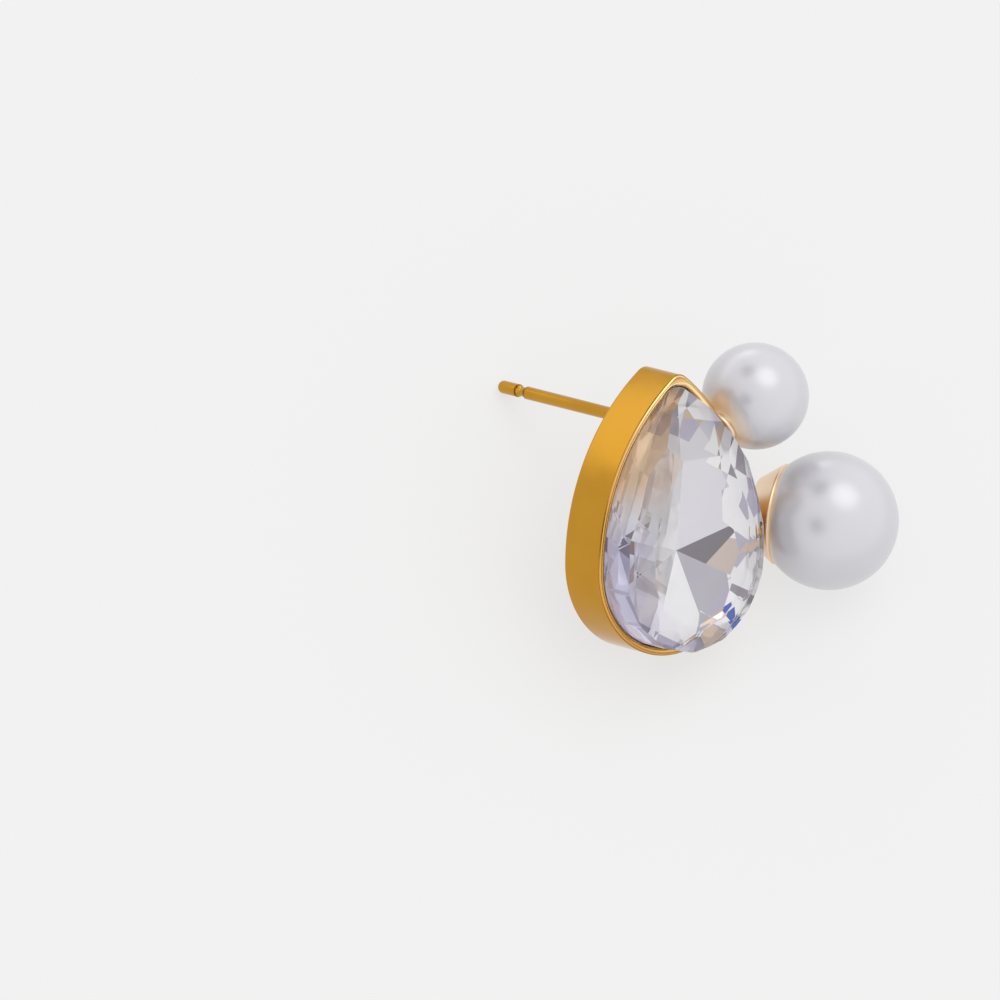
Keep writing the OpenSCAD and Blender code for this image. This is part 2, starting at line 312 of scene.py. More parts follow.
def piece_from(name, grid, material):
    """Closed skin over a grid [row, station, 3] in millimetres. Every row is a ring, quads
    join neighbouring rows, and a row that is one point ends the skin as a fan. The faces are
    turned round where the volume inside them comes out negative."""
    rows, stations = grid.shape[:2]
    index = np.arange(rows * stations).reshape(rows, stations)
    below, above = index[:-1], index[1:]
    faces = np.stack([below, np.roll(below, -1, 1), np.roll(above, -1, 1), above], axis=2)
    faces = faces.reshape(-1, 4)
    points = laid_down(grid.reshape(-1, 3))
    centre = points.mean(0)
    a, b, c, d = (points[faces[:, k]] - centre for k in range(4))
    volume = np.einsum("ij,ij->", a, np.cross(b, c) + np.cross(c, d))
    if volume < 0:
        faces = faces[:, ::-1]
    mesh = bpy.data.meshes.new(name)
    mesh.from_pydata(points.tolist(), [], faces.tolist())
    work = bmesh.new()
    work.from_mesh(mesh)
    bmesh.ops.remove_doubles(work, verts=work.verts, dist=SAME_POINT)
    work.to_mesh(mesh)
    work.free()
    mesh.shade_smooth()
    return finish_piece(name, mesh, [material])


def upright_places(piece):
    """Places of a piece's points in the upright earring, in millimetres."""
    return (read(piece.data.vertices, "co") / MM - SHIFT) @ ROTATION


def mark(piece, name, values):
    """Gives each point of a piece a value that its material reads by name."""
    piece.data.attributes.new(name, "FLOAT", "POINT").data.foreach_set("value", values)


def rounded(corners, steps=6, support=0.03):
    """Polyline through corners (x, y, rounding). Each corner becomes an arc that touches
    both sides, swung evenly round its centre from one touching place to the other, and long
    straight stretches get a point close to each end."""
    corners = np.array(corners, float)
    line = [corners[0, :2]]
    t = np.linspace(0, 1, steps + 1)[:, None]
    for before, (x, y, size), after in zip(corners[:-2, :2], corners[1:-1], corners[2:, :2]):
        corner = np.array([x, y])
        if size == 0:
            line.append(corner)
            continue
        back = (before - corner) / np.linalg.norm(before - corner)
        on = (after - corner) / np.linalg.norm(after - corner)
        half = math.acos(np.clip(back @ on, -1, 1)) / 2
        centre = corner + (back + on) / np.linalg.norm(back + on) * size / math.sin(half)
        start = corner + back * size / math.tan(half) - centre
        end = corner + on * size / math.tan(half) - centre
        sweep = math.pi - 2 * half
        swept = start * np.sin((1 - t) * sweep) + end * np.sin(t * sweep)
        line += list(centre + swept / math.sin(sweep))
    line.append(corners[-1, :2])
    full = [line[0]]
    for a, b in zip(line, line[1:]):
        length = np.linalg.norm(b - a)
        if length > 4 * support:
            full += [a + (b - a) * support / length, b + (a - b) * support / length]
        full.append(b)
    return np.array(full)


def arc(radius, angles):
    """Profile points (across, along) on a circle, at angles from the axis."""
    return radius * np.stack([np.sin(angles), np.cos(angles)], axis=1)


def turned(profile, origin, axis, stations):
    """Surface of revolution: the profile's (r, d) goes to origin + d along the axis
    + r round it."""
    axis = np.asarray(axis, float)
    axis = axis / np.linalg.norm(axis)
    side = np.cross(axis, ASLANT)
    side /= np.linalg.norm(side)
    lift = np.cross(axis, side)
    angle = np.linspace(0, 2 * math.pi, stations, endpoint=False)
    ring = np.cos(angle)[:, None] * side + np.sin(angle)[:, None] * lift
    return origin + profile[:, 1, None, None] * axis + profile[:, 0, None, None] * ring


def drop_outline(inset, rounding):
    """Outline of the drop, smaller by an inset: a half circle round the origin, upright
    sides, arcs round a centre across the axis, and a rounded point. inset and rounding are
    one value for each profile point, and the result is [profile point, station, (x, z)]."""
    inset = np.asarray(inset, float)[:, None]
    rounding = np.asarray(rounding, float)[:, None]
    top = np.sqrt((SIDE_RADIUS - inset - rounding) ** 2 - SIDE_CENTRE**2)
    bend = np.arctan2(top, SIDE_CENTRE)
    low = np.linspace(-math.pi / 2, 0, LOW_POINTS)[None, :]
    side = np.linspace(0, 1, SIDE_POINTS)[None, :] * bend
    tip = bend + np.linspace(0, 1, TIP_POINTS)[None, 1:] * (math.pi / 2 - bend)
    short = HALF_WIDTH - inset
    long = SIDE_RADIUS - inset
    x = np.concatenate([short * np.cos(low), long * np.cos(side) - SIDE_CENTRE,
                        rounding * np.cos(tip)], axis=1)
    z = np.concatenate([short * np.sin(low), UPRIGHT + long * np.sin(side),
                        UPRIGHT + top + rounding * np.sin(tip)], axis=1)
    right = np.stack([x, z], axis=2)
    left = right[:, -2:0:-1] * [-1, 1]
    return np.concatenate([right, left], axis=1)


def inner_rounding(inset):
    """Rounding of the point at an inset inside the lip, from the opening's own rounding."""
    return OPENING_ROUNDING + LIP_WIDTH - inset


# Materials

# Sockets of a node that mixes two colours, and its result
SHARE, UNDER, OVER, MIXED = 0, 6, 7, 2


def linear(colour):
    """sRGB hex to linear red, green, blue and alpha."""
    parts = [int(colour[k:k + 2], 16) / 255 for k in (1, 3, 5)]
    return [p / 12.92 if p <= 0.04045 else ((p + 0.055) / 1.055) ** 2.4 for p in parts] + [1]


def linear_rows(colours):
    """sRGB hex values to rows of linear red, green and blue."""
    return np.array([linear(colour)[:3] for colour in colours])


def node(tree, kind, inputs={}, **settings):
    """Adds a node with its settings. An input is a value, or a socket to link from."""
    made = tree.nodes.new(kind)
    for name, value in settings.items():
        setattr(made, name, value)
    for name, value in inputs.items():
        if isinstance(value, bpy.types.NodeSocket):
            tree.links.new(value, made.inputs[name])
        else:
            made.inputs[name].default_value = value
    return made


def new_material(name):
    """Empty material, its tree, and its Object coordinates in millimetres."""
    material = bpy.data.materials.new(name)
    material.use_nodes = True
    tree = material.node_tree
    tree.nodes.clear()
    place = node(tree, "ShaderNodeTexCoord").outputs["Object"]
    scaled = node(tree, "ShaderNodeVectorMath", {0: place, "Scale": 1 / MM}, operation="SCALE")
    return material, tree, scaled.outputs["Vector"]


def end_material(tree, shader):
    """Makes a shader the surface of its material."""
    node(tree, "ShaderNodeOutputMaterial", {"Surface": shader.outputs[0]})


def gold_plating():
    """Polished gold plating on brass: a mirror with a slightly uneven polish, which softens
    reflections here and there, and fine wiping lines that catch the light. A painted highlight
    makes it paler on the lip's front, and painted shade makes it brown in the corners of the
    post's groove. The wiping lines are drawn as coarse as they need to show."""
    material, tree, place = new_material("polished_gold_plating")
    polish = node(tree, "ShaderNodeTexNoise", {"Vector": place, "Scale": 0.45, "Detail": 3.0})
    polish = polish.outputs["Fac"]
    # Painted highlight on the lip and painted shade in the post's groove, both mixed into the colour
    painted_lip_highlight = node(tree, "ShaderNodeAttribute", attribute_name="painted_lip_highlight").outputs["Fac"]
    painted_groove_shade = node(tree, "ShaderNodeAttribute", attribute_name="painted_groove_shade").outputs["Fac"]
    tone = linear("#BF8826")
    for share, colour in ((polish, "#C99634"), (painted_lip_highlight, "#FADCAA"), (painted_groove_shade, "#4A2C04")):
        tone = node(tree, "ShaderNodeMix", {SHARE: share, UNDER: tone, OVER: linear(colour)},
                    data_type="RGBA").outputs[MIXED]
    rough = node(tree, "ShaderNodeMapRange", {
        "Value": polish, "From Min": 0.3, "From Max": 0.7, "To Min": 0.08, "To Max": 0.15})
    lines = node(tree, "ShaderNodeMapping", {"Vector": place, "Scale": (30, 3, 30)})
    wiped = node(tree, "ShaderNodeTexNoise", {
        "Vector": lines.outputs["Vector"], "Scale": 1.0, "Detail": 2.0})
    bump = node(tree, "ShaderNodeBump", {
        "Height": wiped.outputs["Fac"], "Strength": 0.04, "Distance": 0.02 * MM})
    shader = node(tree, "ShaderNodeBsdfPrincipled", {
        "Base Color": tone, "Metallic": 1.0, "Roughness": rough.outputs["Result"],
        "Normal": bump.outputs["Normal"]})
    end_material(tree, shader)
    return material


def satin_gold():
    """Brushed and dipped gold of the cups behind the pearls: paler and pinker than the
    polished plating, with a satin sheen that blurs what it mirrors."""
    material, tree, place = new_material("satin_gold_plating")
    cloud = node(tree, "ShaderNodeTexNoise", {"Vector": place, "Scale": 0.7, "Detail": 4.0})
    tone = node(tree, "ShaderNodeMix", {
        SHARE: cloud.outputs["Fac"], UNDER: linear("#E8CDB0"), OVER: linear("#F6DFC2")},
        data_type="RGBA")
    grain = node(tree, "ShaderNodeTexNoise", {"Vector": place, "Scale": 22.0, "Detail": 2.0})
    bump = node(tree, "ShaderNodeBump", {
        "Height": grain.outputs["Fac"], "Strength": 0.08, "Distance": 0.02 * MM})
    shader = node(tree, "ShaderNodeBsdfPrincipled", {
        "Base Color": tone.outputs[MIXED], "Metallic": 1.0, "Roughness": 0.34,
        "Normal": bump.outputs["Normal"]})
    end_material(tree, shader)
    return material


def cut_glass():
    """Cut crystal glass, polished on a wheel: clear, with sharp facet edges and a faint painted
    reflection on the side away from the pearls."""
    material, tree, _ = new_material("cut_crystal_glass")
    # Painted reflection on the crown's side away from the pearls, read from each corner's tone
    facet = node(tree, "ShaderNodeAttribute", attribute_name="painted_reflection_tone")
    shader = node(tree, "ShaderNodeBsdfPrincipled", {
        "Base Color": facet.outputs["Color"], "Roughness": 0.0, "IOR": 1.56,
        "Transmission Weight": 1.0})
    end_material(tree, shader)
    return material


def silvering():
    """Silvering on the back of the crystal: part mirror and part soft white, so that its
    fields stay light from every side. Each field has its own tone of painted reflection, a little
    cloudy."""
    material, tree, place = new_material("silvered_crystal_back")
    cloud = node(tree, "ShaderNodeTexNoise", {"Vector": place, "Scale": 0.35, "Detail": 5.0})
    silver = node(tree, "ShaderNodeMix", {
        SHARE: cloud.outputs["Fac"], UNDER: linear("#F2F1F7"), OVER: linear("#FDFDFC")},
        data_type="RGBA")
    # Painted reflection: each field's tone stands in for what it mirrors
    facet = node(tree, "ShaderNodeAttribute", attribute_name="painted_reflection_tone")
    tone = node(tree, "ShaderNodeMix", {
        SHARE: 1.0, UNDER: silver.outputs[MIXED], OVER: facet.outputs["Color"]},
        data_type="RGBA", blend_type="MULTIPLY")
    shader = node(tree, "ShaderNodeBsdfPrincipled", {
        "Base Color": tone.outputs[MIXED], "Metallic": 0.4, "Specular IOR Level": 0.0,
        "Roughness": 0.05})
    end_material(tree, shader)
    return material


def nacre():
    """Pearl lacquer in many thin coats over a glass ball: a milky body with a soft metallic
    shine, in which the surroundings show dimly, and a painted reflection of the gold beside the cup."""
    material, tree, place = new_material("pearl_lacquer")
    cloud = node(tree, "ShaderNodeTexNoise", {"Vector": place, "Scale": 0.35, "Detail": 3.0})
    tone = node(tree, "ShaderNodeMix", {
        SHARE: cloud.outputs["Fac"], UNDER: linear("#C8C7CD"), OVER: linear("#CFCED2")},
        data_type="RGBA")
    # Painted reflection of the gold cup, mixed into the colour beside it
    near = node(tree, "ShaderNodeAttribute", attribute_name="painted_gold_reflection")
    warm = node(tree, "ShaderNodeMix", {
        SHARE: near.outputs["Fac"], UNDER: tone.outputs[MIXED], OVER: linear("#FFEED0")},
        data_type="RGBA")
    shader = node(tree, "ShaderNodeBsdfPrincipled", {
        "Base Color": warm.outputs[MIXED], "Metallic": 0.3, "Roughness": 0.28, "IOR": 1.4})
    end_material(tree, shader)
    return material


GOLD = gold_plating()
GLASS = cut_glass()
SILVER = silvering()
NACRE = nacre()
SATIN = satin_gold()


# Metal pieces

def setting_cup():
    """Cup with its turned-over lip. The profile (inset, level) runs from the middle of the
    cup's floor over the lip, down the outer wall and to the middle of the back, and is
    carried round the drop outline. The lip is domed: from its crest it falls by the square
    of the distance."""
    groove = WALL / 2
    groove_end = groove + LIP_GROOVE_WIDTH
    inside = rounded([
        (PLATE_RING, CUP_FLOOR, 0),
        (WALL, CUP_FLOOR, FLOOR_EDGE),
        (WALL, LIP_THICKNESS, LIP_BACK_EDGE),
        (LIP_WIDTH, LIP_THICKNESS, LIP_BACK_EDGE),
        (LIP_WIDTH, 0, LIP_INNER_EDGE),
        (groove_end, 0, GROOVE_INNER_EDGE),
        (groove_end, LIP_GROOVE_DEPTH, GROOVE_BOTTOM_EDGE),
        (groove, LIP_GROOVE_DEPTH, 0)])
    outside = rounded([
        (groove, LIP_GROOVE_DEPTH, 0),
        (groove, 0, GROOVE_OUTER_EDGE),
        (0, 0, RIM_EDGE),
        (0, SETTING_DEPTH, BACK_EDGE),
        (PLATE_RING, SETTING_DEPTH, 0)])[1:]
    inset, level = np.concatenate([inside, outside]).T
    from_crest = 2 * inset / LIP_WIDTH - 1
    fall = LIP_FALL * np.clip(from_crest, -1, 1) ** 2
    level = level + np.where(level < LIP_THICKNESS / 2, fall, 0)
    rounding = np.maximum(POINT_ROUNDING - inset, LEAST_ROUNDING)
    rounding[:len(inside)] = inner_rounding(inset[:len(inside)])
    outline = drop_outline(inset, rounding)
    level = np.broadcast_to(level[:, None], outline.shape[:2])
    grid = np.stack([outline[..., 0], level, outline[..., 1]], axis=2)
    middle = np.tile([0, 0, PLATE_MIDDLE], (2, grid.shape[1], 1))
    middle[..., 1] = level[[0, -1]]
    grid = np.concatenate([middle[:1], grid, middle[1:]])
    made = piece_from("setting_cup", grid, GOLD)
    _, depth, height = upright_places(made).T
    # Painted highlight: paler gold on the lip's front, least round the bottom and more towards the
    # point
    on_lip = np.clip((LIP_HIGHLIGHT_LEVEL - depth) / LIP_HIGHLIGHT_LEVEL, 0, 1)
    towards_point = np.clip((height - LIP_HIGHLIGHT_START) / LIP_HIGHLIGHT_RISE, 0, 1)
    mark(made, "painted_lip_highlight", on_lip * (LIP_HIGHLIGHT_LEAST + (1 - LIP_HIGHLIGHT_LEAST) * towards_point))
    return made


def ear_post():
    """Straight post, turned on its axis: a small fillet of solder at the back plate, a
    round-bottomed groove and a rounded tip. A few rings beside the groove keep the painted
    shade in its corners narrow."""
    t = np.linspace(0, math.pi / 2, FILLET_POINTS)
    foot = POST_FILLET * (1 - np.stack([np.sin(t), np.cos(t)], axis=1)) + [POST_RADIUS, 0]
    half, deep = POST_GROOVE_WIDTH / 2, POST_GROOVE_DEPTH
    groove_radius = (half**2 + deep**2) / (2 * deep)
    reach = np.linspace(-half, half, GROOVE_POINTS)
    narrow = POST_RADIUS - deep + groove_radius - np.sqrt(groove_radius**2 - reach**2)
    beside = half + POST_GROOVE_BESIDE
    edge = np.stack([np.full(len(beside), POST_RADIUS), beside], axis=1)
    groove = np.concatenate([edge[::-1] * [1, -1], np.stack([narrow, reach], axis=1), edge])
    t = np.linspace(math.pi / 2, 0, POST_TIP_POINTS)
    tip = arc(POST_RADIUS, t) + [0, POST_LENGTH - POST_RADIUS]
    sunk = [[0, -POST_SINK], [POST_RADIUS + POST_FILLET, -POST_SINK]]
    profile = np.concatenate([sunk, foot, groove + [0, POST_GROOVE], tip])
    grid = turned(profile, np.array([0, SETTING_DEPTH, POST_HEIGHT]), (0, 1, 0), POST_STATIONS)
    made = piece_from("ear_post", grid, GOLD)
    # Painted shade: dark brown at the groove's edges, fading away from them
    from_groove = np.abs(upright_places(made)[:, 1] - SETTING_DEPTH - POST_GROOVE)
    mark(made, "painted_groove_shade", np.exp(-((from_groove - half) / GROOVE_SHADE_WIDTH) ** 2))
    return made


def pearl_dish(name, place, radius, angle, way, outer):
    """Metal cup that a pearl sits in, turned on the way from the pearl's centre. The hollow
    follows the ball from the peg in its middle to the rim, where it closes up to the pearl,
    and outer is the profile of the outside, from the rim to the axis."""
    inner = radius + PEARL_GAP
    peg = PEG_DIAMETER / 2
    start = math.asin(peg / inner)
    t = np.linspace(start, angle, DISH_POINTS)
    closing = (PEARL_GAP - RIM_GAP) * np.clip((t - angle) / CLOSING_ANGLE + 1, 0, 1)
    hollow = arc((inner - closing)[:, None], t)
    pin = [[0, radius - PEG_LENGTH], [peg, radius - PEG_LENGTH],
           [peg, inner * math.cos(start) - PEG_FOOT]]
    profile = np.concatenate([pin, hollow[:-1], outer])
    return piece_from(name, turned(profile, place, way, DISH_STATIONS), SATIN)


def shell_outside(radius, angle):
    """Outside of the small pearl's dish: a shell of even thickness with a half round rim."""
    outer = radius + PEARL_GAP + DISH_THICKNESS
    rim_size = DISH_THICKNESS / 2
    out = np.array([math.sin(angle), math.cos(angle)])
    across = np.array([out[1], -out[0]])
    s = np.linspace(0, math.pi, DISH_RIM_POINTS)[:-1, None]
    middle = (outer - rim_size) * out - across * rim_size
    rim = middle + across * rim_size * np.sin(s) - out * rim_size * np.cos(s)
    back = arc(outer, np.linspace(angle - rim_size / outer, 0, DISH_POINTS))
    return np.concatenate([rim, back])


def bell_outside(radius, angle):
    """Outside of the large pearl's cup: a straight bell from its thin rim to its small end."""
    level = (radius + PEARL_GAP) * math.cos(angle)
    return rounded([
        ((radius + RIM_GAP) * math.sin(angle), level, 0),
        (BELL_RIM, level, BELL_RIM_EDGE),
        (BELL_END, BELL_LENGTH, BELL_END_EDGE),
        (0, BELL_LENGTH, 0)])


def large_arm():
    """Arm from the wall to the large pearl's bell: a round bar along the way from the pearl
    to the foot, wider where the solder fills its corner at the wall. The solder's width
    falls off with the distance from the wall, each step by the same share."""
    way = beside_wall(LARGE_DIRECTION, 0, SETTING_DEPTH / 2) - LARGE_PLACE
    start = LARGE_RADIUS + PEARL_GAP + DISH_THICKNESS / 2
    length = np.linalg.norm(way) - start + ARM_SINK
    along = np.linspace(0, 1, ARM_POINTS)
    fillet = ARM_FILLET * np.exp(-((1 - along) * length / ARM_FILLET_LENGTH))
    bar = np.stack([ARM_RADIUS + fillet, start + along * length], axis=1)
    profile = np.concatenate([[[0, start]], bar, [[0, start + length]]])
    grid = turned(profile, LARGE_PLACE, way, ARM_STATIONS)
    return piece_from("pearl_arm", grid, GOLD)


# Pearls

def pearl(name, place, radius, way, cup_angle, reflection_fade):
    """Drilled pearl: a ball with a hole that faces its bell or dish, rounded at the mouth.
    The painted reflection of the gold is full at the cup's edge and fades over the angle
    reflection_fade."""
    hole = PEG_DIAMETER / 2 + PEARL_GAP
    start = math.asin((hole + HOLE_MOUTH) / radius)
    ball = arc(radius, np.linspace(start, math.pi, BALL_POINTS))
    ball[-1, 0] = 0
    bottom = radius - PEG_LENGTH - 2 * PEARL_GAP
    level = radius * math.cos(start)
    t = np.linspace(0, math.pi / 2, MOUTH_POINTS)[1:-1]
    rim = np.stack([hole + HOLE_MOUTH * (1 - np.cos(t)), level - HOLE_MOUTH * (1 - np.sin(t))],
                   axis=1)
    drilled = [[0, bottom], [hole, bottom], [hole, level - HOLE_MOUTH]]
    profile = np.concatenate([drilled, rim, ball])
    made = piece_from(name, turned(profile, place, way, PEARL_STATIONS), NACRE)
    # Painted reflection of the gold: full at the cup's edge, fading over an angle
    along = (upright_places(made) - place) @ way / radius
    far = math.cos(cup_angle + reflection_fade)
    mark(made, "painted_gold_reflection", np.clip((along - far) / (math.cos(cup_angle) - far), 0, 1))
    return made


# Stone

def outline_reach(direction, inset):
    """How far the outline inside the lip, smaller by an inset, reaches in a direction: the
    bottom's half circle, the side's arc, or the rounded point."""
    if math.sin(direction) <= 0:
        return HALF_WIDTH - inset
    rounding = inner_rounding(min(inset, SHOULDER_INSET))
    u, w = math.cos(direction), math.sin(direction)
    top = math.sqrt((SIDE_RADIUS - inset - rounding) ** 2 - SIDE_CENTRE**2)
    if math.atan2(w, abs(u)) < math.atan2(top, SIDE_CENTRE):
        return UPRIGHT * w + SIDE_RADIUS - inset - SIDE_CENTRE * abs(u)
    return (UPRIGHT + top) * w + rounding


def facing(direction, tilt):
    """Normal of a facet that faces a direction round the drop and is tilted to the front, or
    to the back when tilt is negative."""
    return np.array([math.cos(direction) * math.cos(tilt), -math.sin(tilt),
                     math.sin(direction) * math.cos(tilt)])


def facet_plane(direction, tilt, inset, level):
    """Facet that meets the outline, smaller by an inset, at a level: its normal, and its
    distance from the origin."""
    distance = outline_reach(direction, inset) * math.cos(tilt) - level * math.sin(tilt)
    return facing(direction, tilt), distance


def facet_directions(side_count, low_count, low_start, shift):
    """Directions of the facets: equal shares of each long side, and of the bottom below a
    start direction. The shift is the place inside a share."""
    side_span = POINT_DIRECTION - low_start
    side = low_start + side_span * (np.arange(side_count) + shift) / side_count
    low_span = math.pi + 2 * low_start
    low = low_start - low_span * (np.arange(low_count) + 1 - shift) / low_count
    return np.concatenate([side, math.pi - side, low])


def table_edge(direction):
    """Inset of the table facet's edge. It falls towards the point by a power of the height."""
    upward = max(0, math.sin(direction)) / math.sin(POINT_DIRECTION)
    return TABLE_INSET - (TABLE_INSET - TABLE_POINT_INSET) * upward**TABLE_TAPER


def shoulder_edge(direction):
    """Inset of the shoulder, where the crown's sides end. They lean in more towards the
    point."""
    return SHOULDER_INSET + SHOULDER_LEAN * max(0, math.sin(direction))


def cut_planes():
    """Planes of the stone's crown, its upright sides and its back, as rows of normal and
    distance. The crown has its table, a facet at the point, a leaning side and a star facet
    in each small direction, and a kite facet in each large one. The back has large facets
    that meet at the culet, and flatter ones that break them beside the girdle."""
    shoulder = CROWN_HEIGHT - SHOULDER_DROP
    large = facet_directions(SIDE_FACETS, BOTTOM_FACETS, 0, 0.5)
    small = facet_directions(SIDE_FACETS, BOTTOM_FACETS, 0, 0)
    small = [*small, POINT_DIRECTION, math.pi - POINT_DIRECTION]
    crown = [(np.array([0, -1.0, 0]), CROWN_HEIGHT),
             facet_plane(math.pi / 2, POINT_FACET_TILT, SHOULDER_INSET, -POINT_FACET_LEVEL)]
    for d in small:
        lean = math.atan2(shoulder_edge(d) - LIP_WIDTH - CRYSTAL_GAP, shoulder)
        crown.append(facet_plane(d, lean, shoulder_edge(d), -shoulder))
        crown.append(facet_plane(d, STAR_TILT, table_edge(d), -CROWN_HEIGHT))
    crown += [facet_plane(d, KITE_TILT, shoulder_edge(d), -shoulder) for d in large]
    all_round = np.linspace(0, 2 * math.pi, GIRDLE_CUTS, endpoint=False)
    sides = [facet_plane(d, 0, LIP_WIDTH + CRYSTAL_GAP, 0) for d in all_round]
    girdle = WALL + CRYSTAL_GAP
    tilt = -math.atan2(HALF_WIDTH - girdle, CULET - GIRDLE_LEVEL)
    directions = facet_directions(BACK_SIDE_FACETS, BACK_BOTTOM_FACETS, BOTTOM_SHARE, 0.5)
    back = [(facing(d, tilt), facing(d, tilt) @ [0, CULET, CULET_RISE]) for d in directions]
    breaks = facet_directions(BREAK_SIDE_FACETS, BREAK_BOTTOM_FACETS, BOTTOM_SHARE, 0.5)
    back += [facet_plane(d, -BREAK_TILT, girdle, GIRDLE_LEVEL - BREAK_STEP) for d in breaks]
    return crown, sides, back


def everything(work):
    """All points, edges and faces of a mesh in work."""
    return work.verts[:] + work.edges[:] + work.faces[:]


def cut_down(work, planes):
    """Takes away what is outside each plane, and closes the cut with one flat facet."""
    for normal, distance in planes:
        cut = bmesh.ops.bisect_plane(work, geom=everything(work), dist=CUT_TOUCH, clear_outer=True,
                                     plane_co=normal * distance, plane_no=normal)
        rim = [e for e in cut["geom_cut"] if isinstance(e, bmesh.types.BMEdge) and e.is_boundary]
        if rim:
            bmesh.ops.edgeloop_fill(work, edges=rim)


def part_fields(work):
    """Parts the facets into small fields for the painted reflections, without changing the shape:
    at the lip's back, at the edge of the painted shade, by straight lines drawn by chance, and in
    front of the lip's back at levels up the drop."""
    chance = np.random.default_rng(FIELD_SEED)
    parting = [((0, LIP_THICKNESS, 0), (0, 1, 0)), (SHADE_PLACE, SHADE_WAY)]
    turns = chance.uniform(0, math.pi, FIELDS)
    reaches = chance.uniform(-FIELD_REACH, FIELD_REACH, FIELDS)
    for turn, across in zip(turns, reaches):
        way = np.array([math.cos(turn), 0, math.sin(turn)])
        parting.append((way * across + FIELD_MIDDLE, way))
    for place, way in parting:
        bmesh.ops.bisect_plane(work, geom=everything(work), dist=CUT_TOUCH,
                               plane_co=place, plane_no=way)
    for z in REFLECTION_LEVELS:
        front = [f for f in work.faces if f.calc_center_median().y < LIP_THICKNESS]
        points = dict.fromkeys(v for f in front for v in f.verts)
        edges = dict.fromkeys(e for f in front for e in f.edges)
        bmesh.ops.bisect_plane(work, geom=[*points, *edges, *front], dist=CUT_TOUCH,
                               plane_co=(0, 0, z), plane_no=(0, 0, 1))


def painted_silver_reflections(facet, centres):
    """Painted reflection in the silvering for each face, from its facet and its centre in the
    upright stone, as linear red, green and blue. Large facets each have their own painted tone,
    part of one is painted shade, and the fields on the side away from the pearls vary round a
    paler one. The small fields beside the girdle run through painted glints in the tones that
    cut glass splits light into."""
    x, y, z = centres.T
    chance = np.random.default_rng(RIM_SEED)
    near_girdle = y < RIM_LEVEL + chance.uniform(-RIM_SPREAD, RIM_SPREAD, len(facet))
    picked = chance.choice(len(RIM_TONES), len(facet), p=RIM_SHARES)
    picked[(picked >= FIRST_STRONG) & (x < STRONG_FROM_X)] = WHITE
    picked[(picked == BLUE) & (z > BLUE_BELOW_Z)] = BEIGE
    lilac_place = (z < LILAC_BELOW_Z) & (x > LILAC_FROM_X) & (x < LILAC_TO_X)
    picked[(picked == WHITE) & lilac_place] = LILAC
    rim = linear_rows(RIM_TONES)[picked]
    main = linear_rows(MAIN_TONES)[np.minimum(facet, len(MAIN_TONES) - 1)]
    # Painted shade on the part of the first bottom facet past the shade line
    past_shade = (centres - SHADE_PLACE) @ SHADE_WAY > 0
    main[(facet == SHADED_FACET) & past_shade] = linear(SHADED_TONE)[:3]
    chance = np.random.default_rng(FAR_SEED)
    far = linear_rows(FAR_TONES)[chance.choice(len(FAR_TONES), len(facet), p=FAR_SHARES)]
    main = np.where((x < FAR_X)[:, None], far, main)
    on_break = facet >= len(MAIN_TONES)
    return np.where((on_break | near_girdle)[:, None], rim, main)


def painted_side_reflection(height):
    """Painted reflection on the crown's side away from the pearls: lilac low down, clear in the
    middle and warm towards the point."""
    low, middle, high = linear_rows([LOW_REFLECTION, MIDDLE_REFLECTION, HIGH_REFLECTION])
    upper = np.clip((height - MIDDLE_REFLECTION_FROM) / REFLECTION_RISE, 0, 1)[:, None]
    reflected = low + (middle - low) * upper
    return reflected + (high - reflected) * np.clip((height - HIGH_REFLECTION_FROM) / REFLECTION_RISE, 0, 1)[:, None]


def cut_stone():
    """Stone cut from a block, one flat cut for each facet. Every corner of its small fields
    stores a painted reflection: behind the lip in the silvering, and on the crown's side away
    from the pearls in the glass, the stronger the more the facet turns to that side."""
    crown, sides, back = cut_planes()
    work = bmesh.new()
    bmesh.ops.create_cube(work, size=BLOCK_SIZE)
    cut_down(work, crown + sides + back)
    part_fields(work)
    bmesh.ops.recalc_face_normals(work, faces=work.faces)
    mesh = bpy.data.meshes.new("cut_crystal")
    work.to_mesh(mesh)
    work.free()
    normals, centres = read(mesh.polygons, "normal"), read(mesh.polygons, "center")
    places = read(mesh.vertices, "co")
    silvered = centres[:, 1] > LIP_THICKNESS
    cuts = np.array([normal for normal, _ in back])
    from_cut = np.abs(centres @ cuts.T - [distance for _, distance in back]) + 1 - normals @ cuts.T
    on_back = silvered & (from_cut.min(1) < ON_FACET)
    # Painted reflections in the silvering behind the lip, one tone a field
    tones = np.ones((len(centres), 3))
    tones[on_back] = painted_silver_reflections(from_cut.argmin(1)[on_back], centres[on_back])
    # Painted reflection on the crown's side away from the pearls, by height
    side = np.clip(-REFLECTION_GAIN * normals[:, 0] - REFLECTION_START, 0, 1) * ~silvered
    corners = read(mesh.polygons, "loop_total", 1, int).ravel()
    corner_point = read(mesh.loops, "vertex_index", 1, int).ravel()
    side, tones = np.repeat(side, corners)[:, None], np.repeat(tones, corners, 0)
    tones = tones + (painted_side_reflection(places[corner_point, 2]) - tones) * side
    stored = mesh.attributes.new("painted_reflection_tone", "FLOAT_COLOR", "CORNER").data
    stored.foreach_set("color", np.hstack([tones, np.ones((len(tones), 1))]).ravel())
    mesh.polygons.foreach_set("material_index", silvered.astype(int))
    mesh.polygons.foreach_set("use_smooth", np.abs(normals[:, 1]) < UPRIGHT_SIDE)
    mesh.vertices.foreach_set("co", laid_down(places).ravel())
    mesh.update()
    return finish_piece("cut_crystal", mesh, [GLASS, SILVER])


